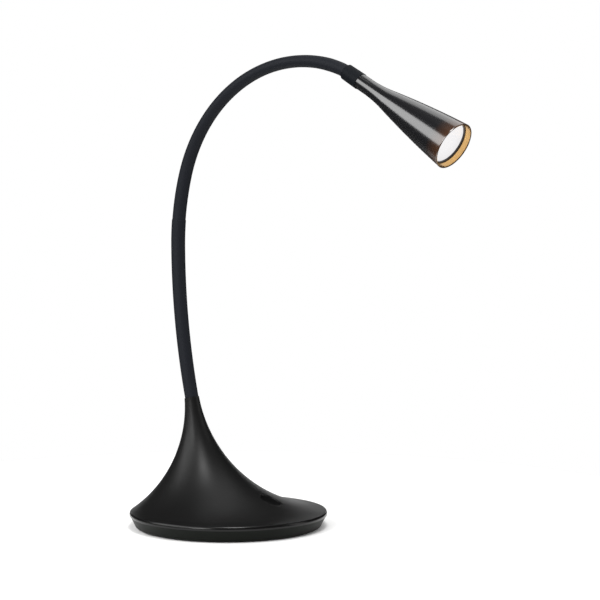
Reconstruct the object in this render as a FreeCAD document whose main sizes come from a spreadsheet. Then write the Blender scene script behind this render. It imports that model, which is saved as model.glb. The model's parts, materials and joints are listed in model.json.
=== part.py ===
"""Gooseneck desk lamp: a trumpet base, a flexible arm and a slim conical head.

The lamp stands on the XY plane with +Z up. The origin is the middle of the round base, on the
table. The button faces +X. The arm leaves the neck leaning towards -X, curls over to the front
and is turned a little to the right of the button, towards -Y.
All lengths are in millimetres and all angles in degrees.
"""
import FreeCAD, Part
import Sketcher
import math
import os

from FreeCAD import Placement, Rotation, Vector

doc = FreeCAD.newDocument("gooseneck_desk_lamp")

# Driving sizes

DRIVING_SIZES = {
    # round base, seen from outside
    "edge_diameter": 168.0,
    "lip_bulge": 1.0,
    "lip_side": 2.2,
    "foot_inset": 4.5,
    "foot_rise": 0.8,
    "pan_shoulder": 9.8,
    "parting_gap": 0.6,
    "lip_top": 14.0,
    "back_radius": 107.0,
    "front_radius": 120.0,
    "cover_wall": 2.2,
    # neck of the base
    "neck_height": 110.0,
    "neck_offset": 34.2,
    "neck_diameter": 12.8,
    "neck_tilt": 12.7,
    "boss_depth": 34.0,
    # bottom pan, pad, ballast and screws
    "pan_floor": 2.2,
    "pan_wall": 2.4,
    "spigot_height": 1.8,
    "pad_inset": 7.5,
    "pad_thickness": 1.4,
    "ballast_inset": 10.0,
    "ballast_thickness": 5.0,
    "post_inset": 16.0,
    "post_diameter": 8.0,
    "post_pilot": 3.0,
    "screw_head": 6.0,
    "screw_head_height": 1.2,
    "screw_reach": 9.5,
    # push button and its switch
    "button_height": 25.0,
    "button_diameter": 18.0,
    "button_sink": 0.7,
    "button_travel": 1.5,
    "button_dish": 0.9,
    "guide_depth": 4.2,
    "guide_wall": 1.6,
    "flange_thickness": 1.1,
    "switch_width": 6.2,
    "switch_depth": 4.0,
    "plunger_diameter": 3.4,
    "board_thickness": 1.6,
    "switch_board_length": 34.0,
    "switch_board_width": 14.0,
    "rail_thickness": 4.0,
    "rail_lip": 1.2,
    # driver board with its tall parts, on the ballast
    "driver_length": 44.0,
    "driver_width": 30.0,
    "driver_offset": 16.0,
    "insulator_thickness": 0.4,
    "capacitor_diameter": 8.0,
    "capacitor_height": 12.0,
    "inductor_diameter": 10.0,
    "inductor_height": 6.0,
    # gland that the supply cord passes through
    "gland_height": 6.6,
    "gland_bore": 3.5,
    "gland_wall": 0.65,
    "gland_flange": 1.5,
    "gland_reach": 0.8,
    # threaded fittings
    "thread_diameter": 8.0,
    "thread_bore": 5.5,
    "nut_width": 13.0,
    "nut_thickness": 4.0,
    "washer_diameter": 16.0,
    "washer_thickness": 1.2,
    "neck_spigot": 10.0,
    "neck_fitting_foot": 44.0,
    "head_spigot": 8.0,
    "lead_diameter": 3.2,
    # gooseneck: four arcs of the relaxed arm and a short bend into the collar
    "arm_swing": 15.9,
    "arc_a_length": 132.0,
    "arc_a_turn": 12.5,
    "arc_b_length": 62.0,
    "arc_b_turn": 16.5,
    "arc_c_length": 179.0,
    "arc_c_turn": 79.2,
    "arc_d_length": 30.0,
    "arc_d_turn": 15.3,
    "arc_e_length": 5.0,
    "arc_e_turn": 9.2,
    "lower_sleeve": 12.0,
    "upper_sleeve": 10.8,
    "lower_sleeve_length": 154.0,
    "link_gap": 0.3,
    # collar and head
    "collar_length": 15.3,
    "collar_narrow": 13.4,
    "collar_wide": 14.0,
    "collar_chamfer": 0.8,
    "collar_lap": 1.5,
    "sleeve_socket": 5.0,
    "head_length": 105.3,
    "head_narrow": 13.2,
    "throat_length": 12.0,
    "flare_end": 30.0,
    "flare_diameter": 16.9,
    "flare_radius": 116.0,
    "cone_front_length": 43.3,
    "cone_front_growth": 11.4,
    "mouth_diameter": 39.6,
    "head_wall": 1.2,
    "mouth_wall": 0.8,
    "mouth_taper": 1.0,
    "lens_shoulder": 1.1,
    "lens_recess": 6.6,
    "lens_thickness": 1.8,
    "lens_ring_width": 0.9,
    "lens_ring_thickness": 0.8,
    "mouth_ring_thickness": 0.4,
    "chip_diameter": 9.0,
    "led_setback": 18.9,
    "sink_length": 18.0,
    "sink_plate": 3.0,
    "sink_core": 13.0,
    "fin_thickness": 1.2,
    # running clearance between pieces that fit together
    "fit": 0.1,
    "slide_fit": 0.3,
}

FINS = 8
POSTS = 3
HINGES = 9
COVER_SECTIONS = 8
CAVITY_SECTIONS = 5
BEND_PER_MITRE = 9.0
# flats on round pieces and holes: small hidden ones, the sleeve, the head's and the base's
SMALL_FLATS = 12
SLEEVE_FLATS = 18
HEAD_FLATS = 36
BASE_FLATS = 48

sheet = doc.addObject("Spreadsheet::Sheet", "Sizes")
for row, (alias, number) in enumerate(DRIVING_SIZES.items(), start=1):
    sheet.set(f"A{row}", alias)
    sheet.set(f"B{row}", str(number))
    sheet.setAlias(f"B{row}", alias)
doc.recompute()


class Size:
    """A number together with the spreadsheet formula that it comes from."""

    def __init__(self, number, formula):
        self.number = number
        self.formula = formula

    def __float__(self):
        return float(self.number)

    def __str__(self):
        return self.formula

    def _join(self, sign, left, right, number):
        return Size(number, f"({left} {sign} {right})")

    def __add__(self, other):
        return self._join("+", self, other, float(self) + float(other))

    def __radd__(self, other):
        return self._join("+", other, self, float(other) + float(self))

    def __sub__(self, other):
        return self._join("-", self, other, float(self) - float(other))

    def __rsub__(self, other):
        return self._join("-", other, self, float(other) - float(self))

    def __mul__(self, other):
        return self._join("*", self, other, float(self) * float(other))

    def __rmul__(self, other):
        return self._join("*", other, self, float(other) * float(self))

    def __truediv__(self, other):
        return self._join("/", self, other, float(self) / float(other))

    def __neg__(self):
        return Size(-float(self), f"(0 - {self})")


def root(size):
    """The square root of a size, as a size."""
    return Size(math.sqrt(float(size)), f"sqrt({size})")


class Sizes:
    """Gives each alias of the sheet as a Size, such as size.neck_height."""

    def __getattr__(self, alias):
        return Size(sheet.getPropertyByName(alias), f"Sizes.{alias}")


size = Sizes()

# Helpers that make and place solids

pieces = {}


def drive(item, prop, value):
    """Bind a property of an object to a size or to a plain number."""
    item.setExpression(prop, str(value))


def put(item, at):
    """Bind the three coordinates of an object's place."""
    for axis, value in zip("xyz", at):
        if isinstance(value, Size) or value:
            drive(item, f"Placement.Base.{axis}", value)
    return item


def rod(name, radius, height, at=(0, 0, 0)):
    item = doc.addObject("Part::Cylinder", name)
    drive(item, "Radius", radius)
    drive(item, "Height", height)
    return put(item, at)


def small_rod(name, radius, height, at=(0, 0, 0), flats=SMALL_FLATS):
    """A hidden small rod, drawn with flats."""
    item = doc.addObject("Part::Prism", name)
    item.Polygon = flats
    drive(item, "Circumradius", radius)
    drive(item, "Height", height)
    return put(item, at)


def small_tube(name, outer, inner, height, at=(0, 0, 0), flats=SMALL_FLATS):
    """A hidden small tube, drawn with flats and given by its radii."""
    x, y, z = at
    bore = small_rod(f"{name}_bore", inner, height + 2, (x, y, z - 1), flats)
    return cut(name, small_rod(f"{name}_outside", outer, height, at, flats), bore)


def around(radius, flats):
    """The corner radius of a hole whose flats touch a circle."""
    return radius * (1 / math.cos(math.pi / flats))


def faceted(name, rings, flats):
    """A solid of flat facets through level rings, each given by radius, middle and height."""
    corners = [[Vector(float(x) + float(radius) * math.cos(2 * math.pi * i / flats),
                       float(radius) * math.sin(2 * math.pi * i / flats), float(height))
                for i in range(flats)] for radius, x, height in rings]
    outlines = [corners[0][::-1], corners[-1]]
    for low, high in zip(corners, corners[1:]):
        outlines += [[low[i - 1], low[i], high[i], high[i - 1]] for i in range(flats)]
    faces = [Part.Face(Part.makePolygon(outline + outline[:1])) for outline in outlines]
    return feature(name, Part.Solid(Part.Shell(faces)))


def cone(name, low_radius, high_radius, height, at=(0, 0, 0)):
    item = doc.addObject("Part::Cone", name)
    drive(item, "Radius1", low_radius)
    drive(item, "Radius2", high_radius)
    drive(item, "Height", height)
    return put(item, at)


def block(name, length, width, height, at=(0, 0, 0)):
    """A box whose bottom face is centred on a point."""
    item = doc.addObject("Part::Box", name)
    drive(item, "Length", length)
    drive(item, "Width", width)
    drive(item, "Height", height)
    x, y, z = at
    return put(item, (x - length / 2, y - width / 2, z))


def lying_rod(name, radius, length, at, maker=rod):
    """A rod along +X from a point."""
    item = maker(name, radius, length, at)
    item.Placement.Rotation = Rotation(Vector(0, 1, 0), 90)
    return item


def fuse(name, *parts):
    item = doc.addObject("Part::MultiFuse", name)
    item.Shapes = list(parts)
    item.Refine = True
    return item


def common(name, *parts):
    item = doc.addObject("Part::MultiCommon", name)
    item.Shapes = list(parts)
    return item


def cut(name, base, *tools):
    item = doc.addObject("Part::Cut", name)
    item.Base = base
    item.Tool = tools[0] if len(tools) == 1 else fuse(f"{name}_tools", *tools)
    return item


def framed(name, placement, *parts):
    """Solids made in a frame of their own, moved together to a place."""
    group = doc.addObject("Part::Compound", name)
    group.Links = list(parts)
    group.Placement = placement
    return group


def feature(name, shape):
    item = doc.addObject("Part::Feature", name)
    item.Shape = shape
    return item


def piece(label, item, placement=None):
    """Name a finished sub-part and set it in its place."""
    item.Label = label
    if placement is not None:
        item.Placement = placement
    pieces[label] = item
    return item


def arc_between(start, end, radius, bulge):
    """A sketch arc from start to end, bulging left (+1) or right (-1) of its way."""
    chord = end - start
    middle = (start + end) * 0.5
    left = Vector(-chord.y, chord.x, 0).normalize()
    centre = middle - left * (bulge * math.sqrt(radius**2 - (chord.Length / 2)**2))
    first, last = (end, start) if bulge > 0 else (start, end)
    angles = [math.atan2(p.y - centre.y, p.x - centre.x) for p in (first, last)]
    return Part.ArcOfCircle(Part.Circle(centre, Vector(0, 0, 1), radius), *angles)


def turned(name, outline):
    """A body of revolution about Z from corners (radius, height).

    A third entry, (radius, bulge), makes the edge that starts there an arc.
    """
    body = doc.addObject("PartDesign::Body", name)
    sketch = body.newObject("Sketcher::SketchObject", f"{name}_outline")
    plane = next(p for p in body.Origin.OriginFeatures if p.Role == "XZ_Plane")
    sketch.AttachmentSupport = (plane, [""])
    sketch.MapMode = "FlatFace"
    corners = [Vector(float(c[0]), float(c[1]), 0) for c in outline]
    starts = []
    for index, corner in enumerate(outline):
        start, end = corners[index], corners[(index + 1) % len(corners)]
        if len(corner) == 3:
            radius, bulge = corner[2]
            sketch.addGeometry(arc_between(start, end, float(radius), bulge))
            starts.append((2, 1) if bulge > 0 else (1, 2))
        else:
            sketch.addGeometry(Part.LineSegment(start, end))
            starts.append((1, 2))
    for index, corner in enumerate(outline):
        before = (index - 1) % len(outline)
        join = (before, starts[before][1], index, starts[index][0])
        sketch.addConstraint(Sketcher.Constraint("Coincident", *join))
        for kind, axis, value in (("DistanceX", -2, corner[0]), ("DistanceY", -1, corner[1])):
            spot = (index, starts[index][0])
            if float(value) == 0:
                sketch.addConstraint(Sketcher.Constraint("PointOnObject", *spot, axis))
                continue
            rule = Sketcher.Constraint(kind, -1, 1, *spot, float(value))
            drive(sketch, f"Constraints[{sketch.addConstraint(rule)}]", value)
        if len(corner) == 3:
            rule = Sketcher.Constraint("Radius", index, float(corner[2][0]))
            drive(sketch, f"Constraints[{sketch.addConstraint(rule)}]", corner[2][0])
    turn = body.newObject("PartDesign::Revolution", f"{name}_turn")
    turn.Profile = sketch
    turn.ReferenceAxis = (sketch, ["V_Axis"])
    turn.Angle = 360
    body.Tip = turn
    return body


# Base cover: a trumpet that leans back, between two circular side profiles

edge_radius = size.edge_diameter / 2
lip_radius = edge_radius + size.lip_bulge
foot_radius = edge_radius - size.foot_inset
pad_radius = foot_radius - size.pad_inset
cover_bottom = size.pan_shoulder + size.parting_gap
skirt_top = size.lip_top - size.cover_wall
skirt_inside = edge_radius - size.cover_wall
pan_inside = size.pad_thickness + size.pan_floor
neck_overrun = 2.0


def side_profile(edge_x, neck_x, radius, side):
    """The circle through the lip edge and the neck: its middle, as sizes (x, z)."""
    run = neck_x - edge_x
    climb = size.neck_height - size.lip_top
    span = root(run * run + climb * climb)
    reach = root(radius * radius - span * span / 4)
    middle_x = (edge_x + neck_x) / 2 + side * climb / span * reach
    middle_z = (size.neck_height + size.lip_top) / 2 - side * run / span * reach
    return middle_x, middle_z


front_circle = side_profile(edge_radius, size.neck_diameter / 2 - size.neck_offset,
                            size.front_radius, 1)
back_circle = side_profile(-edge_radius, -size.neck_offset - size.neck_diameter / 2,
                           size.back_radius, -1)


def trumpet_rings(low, high, count, wall):
    """Level rings that span the two side profiles, each moved inwards by a wall."""
    for index in range(count):
        height = low + (high - low) * (index / (count - 1))**2
        reach = [root((radius + wall) * (radius + wall) - (height - z) * (height - z))
                 for radius, (x, z) in ((size.front_radius, front_circle),
                                        (size.back_radius, back_circle))]
        front = front_circle[0] - reach[0]
        back = back_circle[0] + reach[1]
        yield (front - back) / 2, (front + back) / 2, height


def trumpet(name, low, high, count):
    """The outside: one smooth loft through circles."""
    rings = []
    for index, (radius, x, height) in enumerate(trumpet_rings(low, high, count, 0)):
        ring = doc.addObject("Part::Circle", f"{name}_ring_{index}")
        drive(ring, "Radius", radius)
        rings.append(put(ring, (x, 0, height)))
    loft = doc.addObject("Part::Loft", name)
    loft.Sections = rings
    loft.Solid = True
    return loft


# Frames: the arm's upright plane, the neck and the button

arm_frame = Placement(Vector(-float(size.neck_offset), 0, float(size.neck_height)),
                      Rotation(Vector(0, 0, 1), -float(size.arm_swing)))
neck_frame = arm_frame * Placement(Vector(), Rotation(Vector(0, 1, 0), -float(size.neck_tilt)))


def button_frame():
    """Where the button breaks the front slope, with Z square to the slope."""
    height = float(size.button_height)
    middle_x, middle_z = (float(value) for value in front_circle)
    x = middle_x - math.sqrt(float(size.front_radius)**2 - (height - middle_z)**2)
    lean = math.degrees(math.atan2(middle_x - x, middle_z - height))
    return Placement(Vector(x, 0, height), Rotation(Vector(0, 1, 0), lean))


def post_places():
    """The middles of the screw posts, round the base."""
    for index in range(POSTS):
        angle = math.radians(45 + 360 / POSTS * index)
        reach = edge_radius - size.post_inset
        yield reach * math.cos(angle), reach * math.sin(angle)


# Depths below the front slope, along the button's axis

guide_bore = size.button_diameter / 2 + size.slide_fit
flange_top = size.guide_depth + size.slide_fit
plunger_top = flange_top + size.flange_thickness
switch_top = plunger_top + size.button_travel + 2 * size.slide_fit
board_top = switch_top + size.switch_depth
board_bottom = board_top + size.board_thickness


def base_cover():
    """The moulded cover: trumpet, lip, screw posts, neck boss, button guide and board rails."""
    lip = turned("cover_lip", [
        (0, cover_bottom),
        (lip_radius, cover_bottom),
        (lip_radius, cover_bottom + size.lip_side),
        (edge_radius, size.lip_top),
        (0, size.lip_top),
    ])
    outside = fuse("cover_outside", lip, trumpet(
        "cover_trumpet", size.lip_top, size.neck_height + neck_overrun, COVER_SECTIONS))
    skirt = small_rod("cover_skirt", around(skirt_inside, BASE_FLATS),
                      skirt_top - cover_bottom + 1, (0, 0, cover_bottom - 1), BASE_FLATS)
    cavity_top = size.neck_height - size.boss_depth - 4
    cavity = faceted("cover_cavity", [(skirt_inside, 0, skirt_top), *trumpet_rings(
        size.lip_top, cavity_top, CAVITY_SECTIONS, size.cover_wall)], BASE_FLATS)
    shell = cut("cover_shell", outside, skirt, cavity)

    room = rod("cover_post_room", skirt_inside, cover_bottom - pan_inside, (0, 0, pan_inside))
    rods = [small_rod(f"cover_post_{i}", size.post_diameter / 2, size.neck_height, (x, y, pan_inside))
            for i, (x, y) in enumerate(post_places())]
    posts = common("cover_posts", fuse("cover_post_limit", outside, room),
                   fuse("cover_post_rods", *rods))

    guide = rod("cover_guide", guide_bore + size.guide_wall, size.guide_depth,
                (0, 0, -size.guide_depth))
    rail_foot = board_bottom + size.rail_lip
    rails = [block(f"cover_rail_{i}", size.switch_board_width - 2, size.rail_thickness, rail_foot,
                   (0, side * size.switch_board_length / 2, -rail_foot))
             for i, side in enumerate((-1, 1))]
    bosses = common("cover_bosses", outside,
                    framed("cover_boss_rods", button_frame(), fuse("cover_boss", guide, *rails)))
    solid = fuse("cover_solid", shell, posts, bosses)

    neck_cuts = framed(
        "cover_neck_cuts", neck_frame,
        block("cover_neck_trim", 40, 40, 20),
        rod("cover_neck_bore", size.thread_diameter / 2 + size.fit, size.boss_depth + 8,
            (0, 0, -size.boss_depth - 4)),
        rod("cover_nut_room", size.washer_diameter / 2 + 0.6, 16, (0, 0, -size.boss_depth - 16)))
    button_cuts = framed(
        "cover_button_cuts", button_frame(),
        rod("cover_button_hole", guide_bore, size.guide_depth + 12, (0, 0, -size.guide_depth - 6)),
        cone("cover_button_rim", guide_bore - 0.2, guide_bore + 1.0, 1.2, (0, 0, -0.6)),
        block("cover_board_slot", size.switch_board_width + 2,
              size.switch_board_length + 2 * size.fit, size.board_thickness + 2 * size.fit,
              (0, 0, -board_bottom - size.fit)))
    pilots = [small_rod(f"cover_pilot_{i}", size.post_pilot / 2, size.screw_reach + 1.5,
                  (x, y, pan_inside - 1)) for i, (x, y) in enumerate(post_places())]
    return cut("cover", solid, neck_cuts, button_cuts, *pilots)


def base_plate():
    """The pan that closes the base: tapered side, spigot, pad recess and screw seats."""
    spigot = skirt_inside - size.slide_fit
    spigot_top = size.pan_shoulder + size.spigot_height
    outside = fuse(
        "pan_outside",
        cone("pan_side", foot_radius, pan_shoulder_radius, size.pan_shoulder - size.foot_rise,
             (0, 0, size.foot_rise)),
        small_rod("pan_spigot", spigot, size.spigot_height + 1, (0, 0, size.pan_shoulder - 1),
                  BASE_FLATS))
    room = faceted("pan_room", [(pan_inside_foot, 0, pan_inside),
                                (spigot - size.pan_wall, 0, spigot_top),
                                (spigot - size.pan_wall, 0, spigot_top + 1)], BASE_FLATS)
    recess = small_rod("pan_recess", around(pad_radius + size.fit, BASE_FLATS),
                       size.pad_thickness + 1, (0, 0, -1), BASE_FLATS)
    pan = cut("pan_shape", outside, room, recess)
    holes = []
    for index, (x, y) in enumerate(post_places()):
        holes.append(small_rod(f"pan_hole_{index}", size.post_pilot / 2 + size.fit, 10,
                               (x, y, 0)))
        holes.append(small_rod(f"pan_seat_{index}", size.screw_head / 2 + size.fit,
                               size.screw_head_height + 1, (x, y, size.pad_thickness - 1)))
    holes.append(lying_rod("pan_gland_hole", gland_nose + size.fit, 14,
                           (-edge_radius - 2, 0, size.gland_height)))
    return cut("pan", pan, *holes)


def ballast_disc():
    """A steel disc on the floor of the pan, inside the ring of posts."""
    return small_rod("ballast", pad_radius - size.ballast_inset, size.ballast_thickness,
                     (0, 0, pan_inside), BASE_FLATS)


def antislip_pad():
    """The foam pad in the recess of the pan, which the lamp stands on."""
    return small_rod("pad", pad_radius, size.pad_thickness, (0, 0, 0), BASE_FLATS)


def base_screws():
    """Flat-headed screws, up through the pan into the posts of the cover."""
    solids = []
    head_top = size.pad_thickness + size.screw_head_height
    for index, (x, y) in enumerate(post_places()):
        head = small_rod(f"screw_head_{index}", size.screw_head / 2, size.screw_head_height,
                         (x, y, size.pad_thickness))
        shank = small_rod(f"screw_shank_{index}", size.post_pilot / 2 - size.fit / 2,
                          size.screw_reach, (x, y, head_top))
        solids.append(fuse(f"screw_{index}", head, shank))
    return framed("screws", Placement(), *solids)


# Push button and switch, made along the button's axis with the slope at height 0


def switch_button():
    """A dished cap that slides in its guide, held in by a flange below."""
    cap = rod("button_cap", size.button_diameter / 2, flange_top - size.button_sink,
              (0, 0, -flange_top))
    flange = small_rod("button_flange", guide_bore + size.guide_wall - size.slide_fit,
                       size.flange_thickness, (0, 0, -plunger_top), HEAD_FLATS)
    rim, floor = size.button_diameter * 0.47, size.button_diameter * 0.25
    dish = faceted("button_hollow", [(floor, 0, -size.button_sink - size.button_dish),
                                     (rim, 0, -size.button_sink), (rim, 0, 1)], HEAD_FLATS)
    return cut("button", fuse("button_blank", cap, flange), dish)


def switch_plunger():
    reach = switch_top + size.button_travel + size.slide_fit
    return framed("plunger", Placement(), small_rod(
        "plunger_rod", size.plunger_diameter / 2, reach - plunger_top, (0, 0, -reach)))


def push_switch():
    """The small switch on the board, with the well that its plunger runs in."""
    case = block("switch_case", size.switch_width, size.switch_width, size.switch_depth,
                 (0, 0, -board_top))
    well = small_rod("switch_well", size.plunger_diameter / 2 + size.fit, size.switch_depth,
               (0, 0, 0.4 - board_top))
    return cut("switch", case, well)


def switch_board():
    """The small board that slides into the two slotted rails under the cover."""
    return framed("switch_board_place", Placement(), block(
        "switch_board_blank", size.switch_board_width, size.switch_board_length,
        size.board_thickness, (0, 0, -board_bottom)))


# Driver board on the ballast, and the cord gland at the back

ballast_top = pan_inside + size.ballast_thickness
driver_middle = -size.driver_offset
driver_top = ballast_top + size.insulator_thickness + size.board_thickness
pan_shoulder_radius = edge_radius + 2 * size.fit
pan_inside_foot = foot_radius - size.pan_wall - 0.6
pan_side_slope = (pan_shoulder_radius - foot_radius) / (size.pan_shoulder - size.foot_rise)
gland_nose = size.gland_bore / 2 + size.gland_wall
gland_seat = -pan_inside_foot
gland_tip = -foot_radius - pan_side_slope * (size.gland_height - size.foot_rise) - size.gland_reach


def driver_insulator():
    return block("insulator_sheet", size.driver_length + 2, size.driver_width + 2,
                 size.insulator_thickness, (driver_middle, 0, ballast_top))


def driver_board():
    return block("driver_sheet", size.driver_length, size.driver_width, size.board_thickness,
                 (driver_middle, 0, ballast_top + size.insulator_thickness))


def driver_capacitor():
    place = (driver_middle - size.driver_length / 4, size.driver_width / 4, driver_top)
    return small_rod("capacitor_can", size.capacitor_diameter / 2, size.capacitor_height, place)


def driver_inductor():
    place = (driver_middle - size.driver_length / 4, -size.driver_width / 4, driver_top)
    return small_rod("inductor_core", size.inductor_diameter / 2, size.inductor_height, place)


def cord_gland():
    """The soft bush through the pan's side: a flange inside and a nose outside."""
    flange = lying_rod("gland_collar", gland_nose + 0.5, size.gland_flange,
                       (gland_seat, 0, size.gland_height), small_rod)
    nose = lying_rod("gland_nose", gland_nose, gland_seat + size.gland_flange - gland_tip,
                     (gland_tip, 0, size.gland_height), small_rod)
    bore = lying_rod("gland_bore", size.gland_bore / 2, edge_radius,
                     (-edge_radius - 2, 0, size.gland_height))
    return cut("gland", fuse("gland_solid", flange, nose), bore)


# Neck: threaded tube, washer and nut, made along the neck's axis


def neck_fitting():
    foot = size.neck_fitting_foot
    return small_tube("neck_pipe", size.thread_diameter / 2, size.thread_bore / 2,
                      foot + size.neck_spigot, (0, 0, -foot))


def neck_washer():
    return small_tube("washer", size.washer_diameter / 2, size.thread_diameter / 2 + size.fit,
                      size.washer_thickness, (0, 0, -size.boss_depth - size.washer_thickness))


def neck_nut():
    seat = -size.boss_depth - size.washer_thickness - size.nut_thickness
    hexagon = small_rod("nut_hexagon", size.nut_width / math.sqrt(3), size.nut_thickness,
                        (0, 0, seat), 6)
    bore = small_rod("nut_bore", size.thread_diameter / 2 + size.fit / 2,
                     size.nut_thickness + 2, (0, 0, seat - 1))
    return cut("nut", hexagon, bore)


def neck_lead():
    """The lead from the driver board, up the neck's axis into the threaded tube."""
    reach = (float(size.neck_height) - float(driver_top)) / math.cos(
        math.radians(float(size.neck_tilt))) - 0.6
    return framed("neck_cable", Placement(),
                  small_rod("neck_cable_core", size.lead_diameter / 2, reach - 30,
                            (0, 0, -reach)))


# Gooseneck: a chain of sleeve links along four arcs, hinged in two directions by turns

ARCS = [(float(getattr(size, f"arc_{name}_length")), float(getattr(size, f"arc_{name}_turn")))
        for name in "abcde"]
ARM_LENGTH = sum(length for length, turn in ARCS)
HINGE_SPACING = ARM_LENGTH / HINGES


def arm_point(travel):
    """The arm's middle line in its own plane: its place and its heading above +X."""
    x = z = 0.0
    heading = 90 + float(size.neck_tilt)
    for length, turn in ARCS:
        run = min(travel, length)
        bend = turn * run / length
        chord = 2 * length / math.radians(turn) * math.sin(math.radians(bend) / 2)
        x += chord * math.cos(math.radians(heading - bend / 2))
        z += chord * math.sin(math.radians(heading - bend / 2))
        heading -= bend
        travel -= run
    x += travel * math.cos(math.radians(heading))
    z += travel * math.sin(math.radians(heading))
    return Vector(x, 0, z), heading


def direction(heading):
    return Vector(math.cos(math.radians(heading)), 0, math.sin(math.radians(heading)))


def hinge_travel(number):
    """How far along the arm a hinge lies; hinge 0 is the neck."""
    return (number - 0.5) * HINGE_SPACING if number else 0.0


def hinge_axis(number):
    """Odd hinges curl the arm in its plane, even ones sway it sideways."""
    heading = arm_point(hinge_travel(number))[1]
    return Vector(0, 1, 0) if number % 2 else direction(heading - 90)


def sleeve_radius(travel):
    lower = travel < float(size.lower_sleeve_length)
    return float(size.lower_sleeve if lower else size.upper_sleeve) / 2


def sleeve_rim(radius, middle, heading):
    """The sleeve's outline square to a heading, drawn with flats."""
    sideways, across = Vector(0, 1, 0), direction(heading - 90)
    corners = [middle + (sideways * math.cos(2 * math.pi * i / SLEEVE_FLATS)
                         + across * math.sin(2 * math.pi * i / SLEEVE_FLATS)) * radius
               for i in range(SLEEVE_FLATS)]
    return Part.makePolygon(corners + corners[:1])


def sleeve(start, end, radius):
    """A round sleeve along the arm: short straight runs, mitred where they meet."""
    turn = arm_point(start)[1] - arm_point(end)[1]
    count = max(1, math.ceil(turn / BEND_PER_MITRE))
    stations = [arm_point(start + (end - start) * i / count) for i in range(count + 1)]
    corners = [stations[0][0]]
    for (low, low_heading), (high, high_heading) in zip(stations, stations[1:]):
        way, other = direction(low_heading), direction(high_heading)
        cross = way.x * other.z - way.z * other.x
        if abs(cross) > 1e-4:
            gap = high - low
            corners.append(low + way * ((gap.x * other.z - gap.z * other.x) / cross))
    corners.append(stations[-1][0])
    rim = sleeve_rim(radius, corners[0], arm_point(start)[1])
    mitred = 1
    return Part.makePolygon(corners).makePipeShell([rim], True, False, mitred)


def knuckle(number, radius):
    """A cylinder about a hinge's axis, as wide as the sleeve."""
    middle = arm_point(hinge_travel(number))[0]
    axis = hinge_axis(number)
    return Part.makeCylinder(radius, 4 * radius, middle - axis * (2 * radius), axis)


def gooseneck_link(number):
    """One link: a cup round the hinge below it and a rounded nose in the hinge above it."""
    last = number == HINGES + 1
    start = hinge_travel(number - 1)
    end = ARM_LENGTH + float(size.sleeve_socket) if last else hinge_travel(number)
    step = float(size.lower_sleeve_length)
    link = sleeve(start, end, sleeve_radius(end))
    if start < step < end:
        link = link.fuse(sleeve(start, step, sleeve_radius(start)))
    if not last:
        radius = sleeve_radius(end)
        middle, heading = arm_point(end)
        rim = Part.Face(sleeve_rim(radius, middle, heading))
        nose = rim.extrude(direction(heading) * radius)
        link = link.fuse(nose.common(knuckle(number, radius)))
    if number > 1:
        cup = knuckle(number - 1, sleeve_radius(start) + float(size.link_gap))
        link = link.cut(cup)
    if number == 1:
        link = link.cut(fitting_socket(Vector(), direction(90 + float(size.neck_tilt)),
                                       float(size.neck_spigot)))
    if last:
        tip, heading = arm_point(end)
        link = link.cut(fitting_socket(tip, -direction(heading), float(size.head_spigot)))
    return feature(f"link_{number}", link.removeSplitter())


def fitting_socket(place, way, depth):
    """The hole at the end of the gooseneck that takes a threaded tube."""
    radius = float(size.thread_diameter) / 2 + float(size.fit)
    return Part.makeCylinder(radius, depth + 1 + 0.3, place - way, way)


# Collar and head, made along the head's axis with its narrow end at height 0

collar_end, head_heading = arm_point(ARM_LENGTH)
head_start = collar_end + direction(head_heading) * float(size.collar_length)
head_frame = arm_frame * Placement(head_start, Rotation(Vector(0, 1, 0), 90 - head_heading))

mouth_radius = size.mouth_diameter / 2
mouth_inside = mouth_radius - size.mouth_wall
lens_front = size.head_length - size.lens_recess
lens_back = lens_front - size.lens_thickness
seat_inside = mouth_inside - size.mouth_taper
lens_radius = seat_inside - size.fit
shoulder_inside = seat_inside - size.lens_shoulder
mouth_slope = (mouth_inside - seat_inside) / (size.head_length - lens_back)
cone_middle = size.head_length - size.cone_front_length
middle_radius = (size.mouth_diameter - size.cone_front_growth) / 2
flare_inside = size.flare_diameter / 2 - size.head_wall
middle_inside = middle_radius - size.head_wall
thread_hole = size.thread_diameter / 2 + size.fit
sink_top = lens_back - size.led_setback
led_top = sink_top + size.board_thickness


def inside_radius(height):
    """The radius inside the head at a height, below or above the middle of its cone."""
    if float(height) < float(cone_middle):
        low, high = (flare_inside, size.flare_end), (middle_inside, cone_middle)
    else:
        low, high = (middle_inside, cone_middle), (shoulder_inside, lens_back)
    return low[0] + (high[0] - low[0]) / (high[1] - low[1]) * (height - low[1])


def seat_radius(height):
    """The radius inside the mouth, in front of the lens."""
    return seat_inside + mouth_slope * (height - lens_back)


def collar():
    """The sleeve that joins arm and head: a socket at each end and a bore between."""
    low = size.collar_length
    outside = faceted("collar_outside", [
        (size.collar_narrow / 2 - size.collar_chamfer, 0, 0),
        (size.collar_narrow / 2, 0, size.collar_chamfer),
        (size.collar_wide / 2, 0, low + size.collar_lap),
    ], HEAD_FLATS)
    sleeve_hole = around(size.upper_sleeve / 2 + size.fit, SLEEVE_FLATS)
    head_hole = around(size.head_narrow / 2 + size.fit, HEAD_FLATS)
    return cut(
        "collar_shape", outside,
        small_rod("collar_socket", sleeve_hole, size.sleeve_socket + 1, (0, 0, -1), SLEEVE_FLATS),
        small_rod("collar_bore", thread_hole, low, (0, 0, 0)),
        small_rod("collar_cup", head_hole, size.collar_lap + 1, (0, 0, low), HEAD_FLATS))


def head_fitting():
    return small_tube("head_pipe", size.thread_diameter / 2, size.thread_bore / 2,
                      size.collar_length - size.sleeve_socket + size.head_spigot + 14,
                      (0, 0, size.sleeve_socket - size.collar_length - size.head_spigot))


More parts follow.
